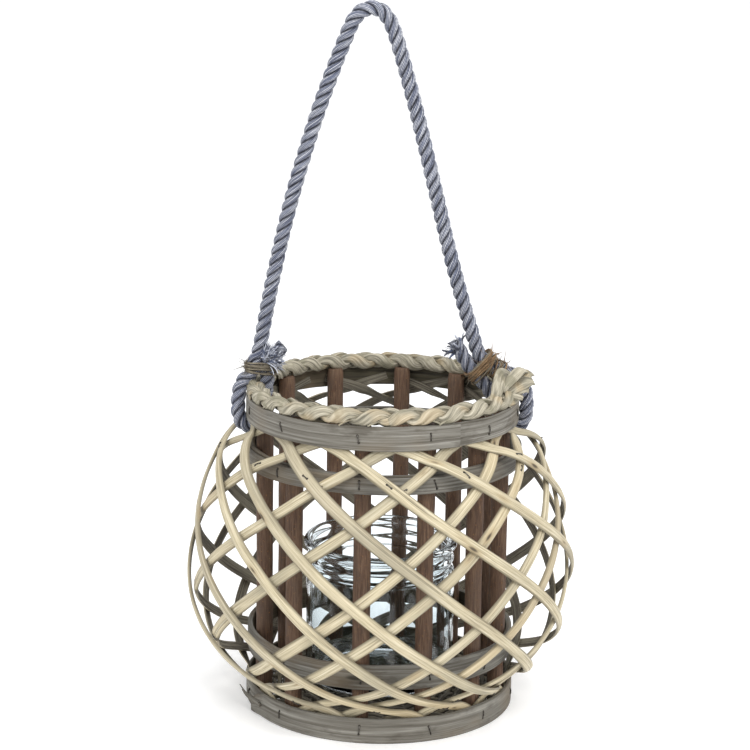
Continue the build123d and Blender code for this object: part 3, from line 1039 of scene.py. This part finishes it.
# ------------------------------------------------------------------ jar
# The profile as (radius, height), down from the middle of the foot and back inside
JAR_R = 50.0
JAR_LOW, JAR_TOP = 14.3, 112.3
WALL, JAR_FLOOR = 2.8, 4.5
OUTSIDE = [
    (0.0, JAR_LOW + 1.6), (20.0, JAR_LOW + 1.2), (36.0, JAR_LOW + 0.5), (42.0, JAR_LOW),
    (46.0, JAR_LOW + 0.6), (48.8, JAR_LOW + 2.4), (JAR_R, JAR_LOW + 5.8), (JAR_R, 40.0),
    (JAR_R, 65.0), (JAR_R, 88.0), (JAR_R - 0.4, 91.0), (JAR_R - 1.3, 93.4), (JAR_R - 1.7, 95.4),
    (JAR_R - 1.3, 97.0), (JAR_R - 0.6, 98.4), (JAR_R - 0.5, 99.8), (JAR_R - 1.1, 101.2),
    (JAR_R - 1.5, 102.8), (JAR_R - 1.4, 104.6), (JAR_R - 0.7, 106.0), (JAR_R + 0.6, 107.2),
    (JAR_R + 1.5, 108.6), (JAR_R + 1.6, 110.0), (JAR_R + 0.9, 111.5), (JAR_R - 0.4, JAR_TOP),
]
INSIDE = [
    (JAR_R - 1.8, JAR_TOP - 0.1), (JAR_R - 2.9, 111.3), (JAR_R - 3.5, 109.4),
    (JAR_R - 3.8, 106.0), (JAR_R - 4.0, 101.0), (JAR_R - 4.0, 96.0), (JAR_R - 3.6, 92.5),
    (JAR_R - WALL, 88.5), (JAR_R - WALL, 60.0), (JAR_R - WALL, 30.0),
    (JAR_R - WALL - 0.8, 24.0), (JAR_R - WALL - 4.0, JAR_LOW + 5.2),
    (JAR_R - WALL - 9.0, JAR_LOW + JAR_FLOOR), (18.0, JAR_LOW + JAR_FLOOR + 0.8),
    (0.0, JAR_LOW + JAR_FLOOR + 1.2),
]
TURNS = 128
profile = curve_through([(r, 0.0, z) for r, z in OUTSIDE + INSIDE], 4)
rings = [[around(max(p.x, 0.05 * MM), 360.0 * step / TURNS, p.z) for step in range(TURNS)]
         for p in profile]
shape = Shape()
shape.skin(rings, round_marks(JAR_R * MM, TURNS), running_length(profile))
shape.make("jar", "jar", "clear_glass", [GLASS], ["glass_jar"])

# ------------------------------------------------------------------ staples
HOOP_STAPLE, STRIP_STAPLE = 0.46, 0.36
HOOP_STAPLE_TALL = 5.6


def staple(shape, place, outward, lengthwise, tall, size, sink, seed):
    """A bent wire staple: two legs into the wood, a round-cornered crown and stained holes."""
    half = tall / 2
    outline = [(-half, -sink), (-half, 0.15), (-half * 0.9, 0.52), (-half * 0.55, 0.62),
               (0.0, 0.66), (half * 0.55, 0.62), (half * 0.9, 0.52), (half, 0.15), (half, -sink)]
    points = [place + lengthwise * (a * MM) + outward * (b * MM) for a, b in outline]
    shape.tube(points, size * MM, v_start=seed * 0.1)
    for leg in (-half, half):
        hole = place + lengthwise * (leg * MM)
        shape.tube([hole - outward * (0.6 * MM), hole + outward * (0.16 * MM)],
                   [0.95 * MM, 0.75 * MM], sides=9, mark=1)


def staple_row(place, radius, height):
    source = random.Random(f"{place}_staple_row")
    shape = Shape()
    for angle in STAKE_ANGLES:
        spot = angle + source.uniform(-1.4, 1.4)
        outward = around(1.0, spot, 0.0)
        tilt = math.radians(source.uniform(-24, 24))
        lengthwise = UPWARD * math.cos(tilt) + UPWARD.cross(outward) * math.sin(tilt)
        middle = around(radius * MM, spot, (height + source.uniform(-1.5, 1.5)) * MM)
        staple(shape, middle, outward, lengthwise, HOOP_STAPLE_TALL * source.uniform(0.8, 1.05),
               HOOP_STAPLE, 1.6, int(angle))
    shape.make(f"{place}_staple_row", "basket", "staple_wire", [WIRE, STAIN],
               [f"{place}_staples"])


for place, radius, height in (("base", 90.45, 8.5), ("lower", 89.4, 44.5),
                              ("upper", 92.9, 174.0), ("top", 90.45, 203.8)):
    staple_row(place, radius, height)

# Staples through the strips where they leave the hoops
shape = Shape()
source = random.Random(77)
for laws, side, ends in ((OUTER_LAYER, 1, (0.115, 0.865)), (INNER_LAYER, -1, (0.12, 0.86))):
    for number, law in enumerate(laws):
        rows = strip_line(*law, side)
        for end in ends:
            if source.random() < 0.35:
                continue
            row = rows[int((end + source.uniform(-0.02, 0.02)) * (len(rows) - 1))]
            centre, normal, across, along, thick, _ = row
            slant = (along + across * source.uniform(-0.5, 0.5)).normalized()
            staple(shape, centre + normal * (thick * 0.96 * MM), normal, slant,
                   source.uniform(3.6, 4.8), STRIP_STAPLE, 1.2, number)
shape.make("lattice_staples", "basket", "staple_wire", [WIRE, STAIN])

# ------------------------------------------------------------------ rim plait
PLAIT_RING = 84.4
PLAIT_MIDDLE = 215.6
PLAIT_TILT = 1.3
PLAIT_OUT, PLAIT_UP = 4.0, 2.6
PLAIT_CYCLES = 10
LEAF_WIDE, LEAF_THICK = 4.3, 2.15
PLAIT_SIDES, PLAIT_STEPS = 22, 900
FACE_TILT, TILT_SNAP = math.radians(48), 1.5
# The strands trade places once round, so the wobbles fade out over this many degrees there
CALM = 6.0
AHEAD = 0.4


def plait_point(phase, angle, swell):
    """The middle of a strand: a flat figure of eight as the phase turns."""
    out = PLAIT_OUT * swell * math.sin(phase)
    lift = PLAIT_UP * swell * math.sin(2 * phase) + PLAIT_TILT * math.cos(math.radians(angle))
    return around((PLAIT_RING + out) * MM, angle, (PLAIT_MIDDLE + lift) * MM)


def plait():
    """Three flat strands that weave round the rim, each with its own folds and lumps."""
    shape = Shape()
    for strand in range(3):
        girth = Wobble(800 + strand, longest=40.0)
        lumps = Wobble(820 + strand, longest=23.0)
        source = random.Random(840 + strand)
        # Folds that run along the strand and shift from one lobe to the next
        folds = [(source.randint(3, 9), Wobble(850 + 10 * strand + k, waves=3, longest=28.0),
                  source.uniform(0.05, 0.12)) for k in range(5)]
        rings = []
        middles = []
        for step in range(PLAIT_STEPS + 1):
            angle = 360.0 * step / PLAIT_STEPS
            phase = -PLAIT_CYCLES * math.radians(angle) + 2 * math.pi * strand / 3
            later = phase - PLAIT_CYCLES * math.radians(AHEAD)
            calm = smooth(0.0, CALM, angle) * smooth(0.0, CALM, 360.0 - angle)
            swell = 1 + 0.12 * lumps(angle) * calm
            here = plait_point(phase, angle, swell)
            middles.append(here)
            ahead = (plait_point(later, angle + AHEAD, swell) - here).normalized()
            tilt = FACE_TILT * math.tanh(TILT_SNAP * math.cos(phase)) / math.tanh(TILT_SNAP)
            normal = around(1.0, angle, 0.0) * math.cos(tilt) + UPWARD * math.sin(tilt)
            across = ahead.cross(normal).normalized()
            normal = across.cross(ahead).normalized()
            wide = LEAF_WIDE * (1 + 0.22 * girth(angle) * calm)
            wide *= 0.80 - 0.20 * math.cos(2 * phase)
            thick = LEAF_THICK * (1 + 0.20 * girth(angle * 1.7 + 9) * calm)
            ring = []
            for corner in range(PLAIT_SIDES):
                turn = 2 * math.pi * corner / PLAIT_SIDES
                rib = 1.0
                for count, wave, size in folds:
                    rib += size * math.cos(count * turn + 2.2 * wave(angle) * calm)
                ring.append(here + across * (math.cos(turn) * wide * MM)
                            + normal * (math.sin(turn) * thick * rib * MM))
            rings.append(ring)
        u = [4 * LEAF_WIDE * MM * corner / PLAIT_SIDES for corner in range(PLAIT_SIDES + 1)]
        shape.skin(rings, u, running_length(middles, strand * 1.9), caps=False)
    return shape


shape = plait()


LEAF_SIDES, LEAF_ROUND = 12, 0.013


def leaf(shape, points, widths, thick, seed, up=UPWARD):
    """A dry leaf: a ribbon with ribs that follows the points, with one half width for each."""
    rings = []
    for index, point in enumerate(points):
        ahead = way_at(points, index).normalized()
        across = ahead.cross(Vector(up)).normalized()
        normal = across.cross(ahead)
        ring = []
        for corner in range(LEAF_SIDES):
            turn = 2 * math.pi * corner / LEAF_SIDES
            rib = 1 + 0.16 * math.cos(5 * turn + seed)
            ring.append(point + across * (math.cos(turn) * widths[index] * MM)
                        + normal * (math.sin(turn) * thick * rib * MM))
        rings.append(ring)
    u = [LEAF_ROUND * corner / LEAF_SIDES for corner in range(LEAF_SIDES + 1)]
    shape.skin(rings, u, running_length(points, seed * 0.9))


source = random.Random(91)
LOOSE_LEAVES = 26
LEAF_TAPER = [2.2, 2.3, 2.3, 2.2, 2.0, 1.8, 1.6, 1.3, 1.0, 0.7, 0.3]

# Loose leaf ends that poke out under the plait
for index in range(LOOSE_LEAVES):
    angle = 360.0 * index / LOOSE_LEAVES + source.uniform(-4, 4)
    if 60 < angle < 100:
        continue
    edge, way = (90.0, 1) if source.random() < 0.6 else (80.4, -1)
    turn = source.uniform(3.5, 6.5) * source.choice((-1, 1))
    leaf(shape, curve_round([(angle, 85.0, 216.0),
                             (angle + turn * 0.5, edge - way * 1.2, 214.6),
                             (angle + turn, edge + way * source.uniform(0.2, 1.4),
                              source.uniform(211.6, 213.6))], 5), LEAF_TAPER, 0.55, index)
# The join: the strands fold up into a loop, and broad leaf ends flare outward from it
FOLD = [(54, 85.0, 217.0), (60, 82.5, 221.5), (67, 80.5, 226.5), (74, 80.0, 229.0),
        (80, 82.5, 226.0), (81, 86.0, 220.5), (76, 88.0, 216.8), (69, 88.0, 215.6),
        (62, 87.0, 216.0)]
INNER_FOLD = [(60, 82.0, 217.0), (67, 78.5, 220.5), (75, 78.5, 223.5), (83, 82.0, 221.5),
              (88, 86.5, 217.0)]
for index, (spots, wide, swell) in enumerate(((FOLD, 3.6, 1.9), (INNER_FOLD, 3.2, 1.6))):
    line = curve_round(spots)
    last = len(line) - 1
    leaf(shape, line, [wide + swell * math.sin(math.pi * k / last) for k in range(last + 1)],
         1.1, 40 + index, up=(0.5, -0.6, 0.5))
# Each leaf end's first and last spot, and its half width
FLARES = [((68, 84.0, 219.0), (83, 97.5, 228.5), 4.6), ((70, 85.0, 218.5), (78, 99.5, 225.0), 5.0),
          ((72, 86.0, 216.5), (75, 97.5, 220.5), 4.4), ((66, 83.0, 221.0), (80, 94.0, 231.0), 3.6),
          ((69, 86.0, 216.0), (71, 95.0, 216.0), 3.0)]
for index, ((a0, r0, z0), (a1, r1, z1), wide) in enumerate(FLARES):
    bow = source.uniform(0.8, 2.2)
    leaf(shape, curve_round([(a0, r0, z0),
                             ((a0 + a1) / 2, (r0 * 2 + r1) / 3, (z0 + z1) / 2 + bow),
                             (a1 * 0.8 + a0 * 0.2, (r0 + r1 * 3) / 4, z1 + bow * 0.6),
                             (a1, r1, z1)]),
         [wide * (0.55 + 0.6 * math.sin(math.pi * min(1.0, k / 21) * 0.85)) for k in range(25)],
         0.7, 50 + index, up=(0.1, -0.5, 0.9))
shape.make("straw_plait", "basket", "straw", [STRAW], ["rim_braid"])
